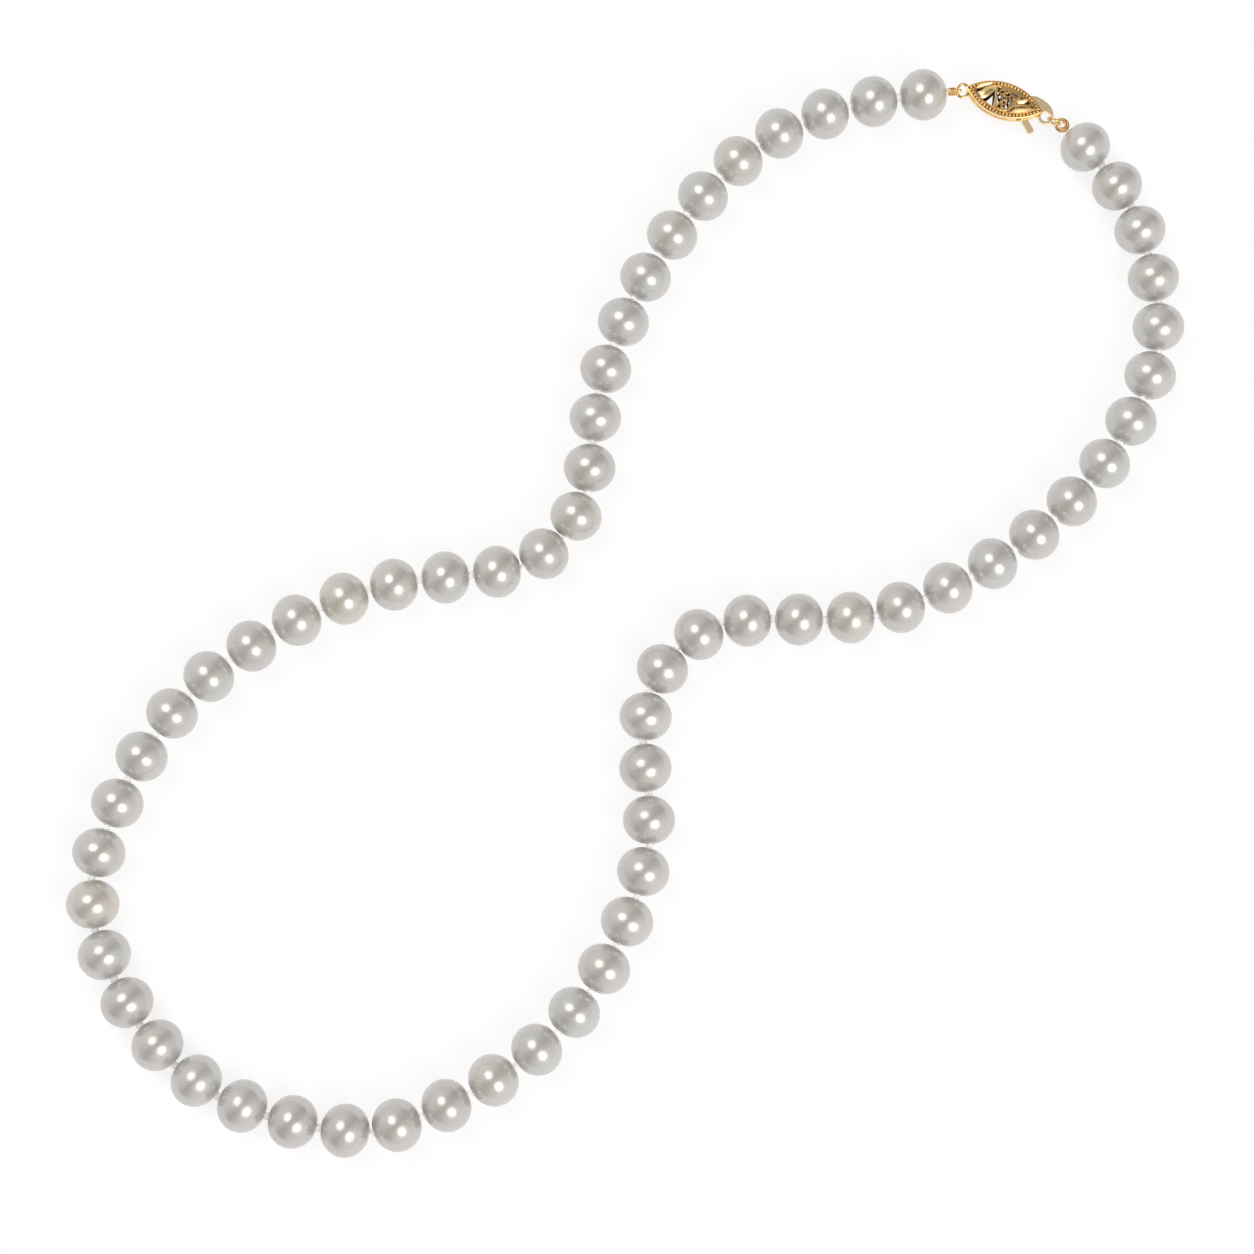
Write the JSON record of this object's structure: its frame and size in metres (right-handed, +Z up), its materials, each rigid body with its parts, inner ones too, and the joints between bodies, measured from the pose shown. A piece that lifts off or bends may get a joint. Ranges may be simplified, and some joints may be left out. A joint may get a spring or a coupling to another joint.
{
  "type": "pearl necklace",
  "caption": "Single strand of knotted pearls worn at the neck, closed by a gold filigree fish-hook clasp joined through a jump ring and wire loops.",
  "frame": {"origin": "under the middle of the outline, on the surface that the pearls lie on", "axes": "+Z up out of that surface; +Y towards the clasp's end of the strand, with the clasp up and to the right; the strand lies flat"},
  "size_m": [0.154, 0.1518, 0.0072],
  "materials": {
    "pearl": "pearl lustre",
    "silk": "knotted silk thread",
    "filigree_gold": "cast filigree, polished",
    "plate_gold": "polished sheet",
    "wire_gold": "drawn wire"
  },
  "bodies": {
    "strand_32_to_33": {"pearls_32_33": "pearl"},
    "strand_28_to_31": {"pearls_30_31": "pearl", "pearls_28_29": "pearl"},
    "strand_24_to_27": {"pearls_26_27": "pearl", "pearls_24_25": "pearl"},
    "strand_20_to_23": {"pearls_22_23": "pearl", "pearls_20_21": "pearl"},
    "strand_17_to_19": {"pearls_18_19": "pearl", "pearl_17": "pearl"},
    "strand_15_to_16": {"pearl_16": "pearl", "pearl_15": "pearl"},
    "strand_13_to_14": {"pearl_14": "pearl", "pearl_13": "pearl"},
    "strand_11_to_12": {"pearl_12": "pearl", "pearl_11": "pearl"},
    "strand_09_to_10": {"pearl_10": "pearl", "pearl_09": "pearl"},
    "strand_07_to_08": {"pearl_08": "pearl", "pearl_07": "pearl"},
    "strand_05_to_06": {"pearl_06": "pearl", "pearl_05": "pearl"},
    "strand_03_to_04": {"pearl_04": "pearl", "pearl_03": "pearl"},
    "strand_01_to_02": {"pearl_02": "pearl", "pearl_01": "pearl", "bullion_loop_first": "wire_gold"},
    "clasp_body": {"upper_filigree": "filigree_gold", "lower_filigree": "filigree_gold", "upper_milgrain_rim": "filigree_gold", "lower_milgrain_rim": "filigree_gold", "leaf_side_wall": "plate_gold", "tab_side_wall": "plate_gold", "catch_post": "plate_gold", "end_ring": "wire_gold"},
    "strand_34_to_37": {"pearls_34_35": "pearl", "pearls_36_37": "pearl"},
    "strand_38_to_41": {"pearls_38_39": "pearl", "pearls_40_41": "pearl"},
    "strand_42_to_45": {"pearls_42_43": "pearl", "pearls_44_45": "pearl"},
    "strand_46_to_47": {"pearl_46": "pearl", "pearl_47": "pearl"},
    "strand_48_to_49": {"pearl_48": "pearl", "pearl_49": "pearl"},
    "strand_50_to_51": {"pearl_50": "pearl", "pearl_51": "pearl"},
    "strand_52_to_53": {"pearl_52": "pearl", "pearl_53": "pearl"},
    "strand_54_to_55": {"pearl_54": "pearl", "pearl_55": "pearl"},
    "strand_56_to_57": {"pearl_56": "pearl", "pearl_57": "pearl"},
    "strand_58_to_59": {"pearl_58": "pearl", "pearl_59": "pearl"},
    "strand_60_to_61": {"pearl_60": "pearl", "pearl_61": "pearl"},
    "strand_62": {"pearl_62": "pearl", "bullion_ring_last": "wire_gold"},
    "jump_ring": {"jump_ring": "wire_gold"},
    "hook": {"hook_plate": "plate_gold"}
  },
  "joints": [
    {"name": "strand_open", "type": "hinge", "parent": "strand_32_to_33", "child": "strand_28_to_31", "pos_m": [-0.04921, -0.07002, 0.00362], "axis": [0, 0, 1], "range_deg": [0, 9.54]},
    {"name": "knot_27_bend", "type": "hinge", "parent": "strand_28_to_31", "child": "strand_24_to_27", "pos_m": [-0.06998, -0.05189, 0.00362], "axis": [0, 0, 1], "range_deg": [-1.9, 0]},
    {"name": "knot_23_bend", "type": "hinge", "parent": "strand_24_to_27", "child": "strand_20_to_23", "pos_m": [-0.06873, -0.02485, 0.00362], "axis": [0, 0, 1], "range_deg": [-14.46, 0]},
    {"name": "knot_19_bend", "type": "hinge", "parent": "strand_20_to_23", "child": "strand_17_to_19", "pos_m": [-0.04934, -0.00471, 0.00362], "axis": [0, 0, 1], "range_deg": [-15.86, 0]},
    {"name": "knot_16_bend", "type": "hinge", "parent": "strand_17_to_19", "child": "strand_15_to_16", "pos_m": [-0.02948, 0.0026, 0.00362], "axis": [0, 0, 1], "range_deg": [-6.39, 0]},
    {"name": "knot_14_bend", "type": "hinge", "parent": "strand_15_to_16", "child": "strand_13_to_14", "pos_m": [-0.01536, 0.00426, 0.00362], "axis": [0, 0, 1], "range_deg": [0, 2.68]},
    {"name": "knot_12_bend", "type": "hinge", "parent": "strand_13_to_14", "child": "strand_11_to_12", "pos_m": [-0.00652, 0.01479, 0.00362], "axis": [0, 0, 1], "range_deg": [0, 5.3]},
    {"name": "knot_10_bend", "type": "hinge", "parent": "strand_11_to_12", "child": "strand_09_to_10", "pos_m": [-0.005, 0.02893, 0.00362], "axis": [0, 0, 1], "range_deg": [0, 1.39]},
    {"name": "knot_08_bend", "type": "hinge", "parent": "strand_09_to_10", "child": "strand_07_to_08", "pos_m": [-0.00013, 0.04226, 0.00362], "axis": [0, 0, 1], "range_deg": [-1.18, 0]},
    {"name": "knot_06_bend", "type": "hinge", "parent": "strand_07_to_08", "child": "strand_05_to_06", "pos_m": [0.0073, 0.05436, 0.00362], "axis": [0, 0, 1], "range_deg": [-1.17, 0]},
    {"name": "knot_04_bend", "type": "hinge", "parent": "strand_05_to_06", "child": "strand_03_to_04", "pos_m": [0.01721, 0.06451, 0.00362], "axis": [0, 0, 1], "range_deg": [0, 1.81]},
    {"name": "knot_02_bend", "type": "hinge", "parent": "strand_03_to_04", "child": "strand_01_to_02", "pos_m": [0.03019, 0.07022, 0.00362], "axis": [0, 0, 1], "range_deg": [0, 7.03]},
    {"name": "clasp_swing", "type": "hinge", "parent": "strand_01_to_02", "child": "clasp_body", "pos_m": [0.04544, 0.07251, 0.00362], "axis": [0, 0, 1], "range_deg": [0, 13.21]},
    {"name": "knot_33_bend", "type": "hinge", "parent": "strand_32_to_33", "child": "strand_34_to_37", "pos_m": [-0.03521, -0.07235, 0.00362], "axis": [0, 0, 1], "range_deg": [-4.57, 0]},
    {"name": "knot_37_bend", "type": "hinge", "parent": "strand_34_to_37", "child": "strand_38_to_41", "pos_m": [-0.01039, -0.059, 0.00362], "axis": [0, 0, 1], "range_deg": [-7.16, 0]},
    {"name": "knot_41_bend", "type": "hinge", "parent": "strand_38_to_41", "child": "strand_42_to_45", "pos_m": [0.00203, -0.03385, 0.00362], "axis": [0, 0, 1], "range_deg": [-2.38, 0]},
    {"name": "knot_45_bend", "type": "hinge", "parent": "strand_42_to_45", "child": "strand_46_to_47", "pos_m": [0.00574, -0.0066, 0.00362], "axis": [0, 0, 1], "range_deg": [0, 6.6]},
    {"name": "knot_47_bend", "type": "hinge", "parent": "strand_46_to_47", "child": "strand_48_to_49", "pos_m": [0.01903, -0.00266, 0.00362], "axis": [0, 0, 1], "range_deg": [0, 3.19]},
    {"name": "knot_49_bend", "type": "hinge", "parent": "strand_48_to_49", "child": "strand_50_to_51", "pos_m": [0.03322, -0.00209, 0.00362], "axis": [0, 0, 1], "range_deg": [-1.37, 0]},
    {"name": "knot_51_bend", "type": "hinge", "parent": "strand_50_to_51", "child": "strand_52_to_53", "pos_m": [0.04634, 0.00331, 0.00362], "axis": [0, 0, 1], "range_deg": [-3.7, 0]},
    {"name": "knot_53_bend", "type": "hinge", "parent": "strand_52_to_53", "child": "strand_54_to_55", "pos_m": [0.058, 0.0114, 0.00362], "axis": [0, 0, 1], "range_deg": [-5.1, 0]},
    {"name": "knot_55_bend", "type": "hinge", "parent": "strand_54_to_55", "child": "strand_56_to_57", "pos_m": [0.06733, 0.02209, 0.00362], "axis": [0, 0, 1], "range_deg": [-5.46, 0]},
    {"name": "knot_57_bend", "type": "hinge", "parent": "strand_56_to_57", "child": "strand_58_to_59", "pos_m": [0.073, 0.0351, 0.00362], "axis": [0, 0, 1], "range_deg": [-4.11, 0]},
    {"name": "knot_59_bend", "type": "hinge", "parent": "strand_58_to_59", "child": "strand_60_to_61", "pos_m": [0.07193, 0.04919, 0.00362], "axis": [0, 0, 1], "range_deg": [0, 1.19]},
    {"name": "knot_61_bend", "type": "hinge", "parent": "strand_60_to_61", "child": "strand_62", "pos_m": [0.06573, 0.06182, 0.00362], "axis": [0, 0, 1], "range_deg": [0, 8.68]},
    {"name": "jump_ring_swing", "type": "hinge", "parent": "strand_62", "child": "jump_ring", "pos_m": [0.05941, 0.06803, 0.00362], "axis": [0, 0, 1], "range_deg": [0, 14.18]},
    {"name": "hook_swing", "type": "hinge", "parent": "jump_ring", "child": "hook", "pos_m": [0.05787, 0.06883, 0.00362], "axis": [0, 0, 1], "range_deg": [-42, 0]}
  ],
  "couplings": [
    {"joint": "knot_27_bend", "follows": "strand_open", "ratio": -0.1995},
    {"joint": "knot_23_bend", "follows": "strand_open", "ratio": -1.5159},
    {"joint": "knot_19_bend", "follows": "strand_open", "ratio": -1.6621},
    {"joint": "knot_16_bend", "follows": "strand_open", "ratio": -0.67},
    {"joint": "knot_14_bend", "follows": "strand_open", "ratio": 0.2806},
    {"joint": "knot_12_bend", "follows": "strand_open", "ratio": 0.5558},
    {"joint": "knot_10_bend", "follows": "strand_open", "ratio": 0.1455},
    {"joint": "knot_08_bend", "follows": "strand_open", "ratio": -0.1238},
    {"joint": "knot_06_bend", "follows": "strand_open", "ratio": -0.1224},
    {"joint": "knot_04_bend", "follows": "strand_open", "ratio": 0.1899},
    {"joint": "knot_02_bend", "follows": "strand_open", "ratio": 0.7372},
    {"joint": "clasp_swing", "follows": "strand_open", "ratio": 1.385},
    {"joint": "knot_33_bend", "follows": "strand_open", "ratio": -0.4795},
    {"joint": "knot_37_bend", "follows": "strand_open", "ratio": -0.7504},
    {"joint": "knot_41_bend", "follows": "strand_open", "ratio": -0.2494},
    {"joint": "knot_45_bend", "follows": "strand_open", "ratio": 0.6919},
    {"joint": "knot_47_bend", "follows": "strand_open", "ratio": 0.3342},
    {"joint": "knot_49_bend", "follows": "strand_open", "ratio": -0.1436},
    {"joint": "knot_51_bend", "follows": "strand_open", "ratio": -0.3879},
    {"joint": "knot_53_bend", "follows": "strand_open", "ratio": -0.5344},
    {"joint": "knot_55_bend", "follows": "strand_open", "ratio": -0.572},
    {"joint": "knot_57_bend", "follows": "strand_open", "ratio": -0.4306},
    {"joint": "knot_59_bend", "follows": "strand_open", "ratio": 0.125},
    {"joint": "knot_61_bend", "follows": "strand_open", "ratio": 0.9102},
    {"joint": "jump_ring_swing", "follows": "strand_open", "ratio": 1.4866}
  ]
}
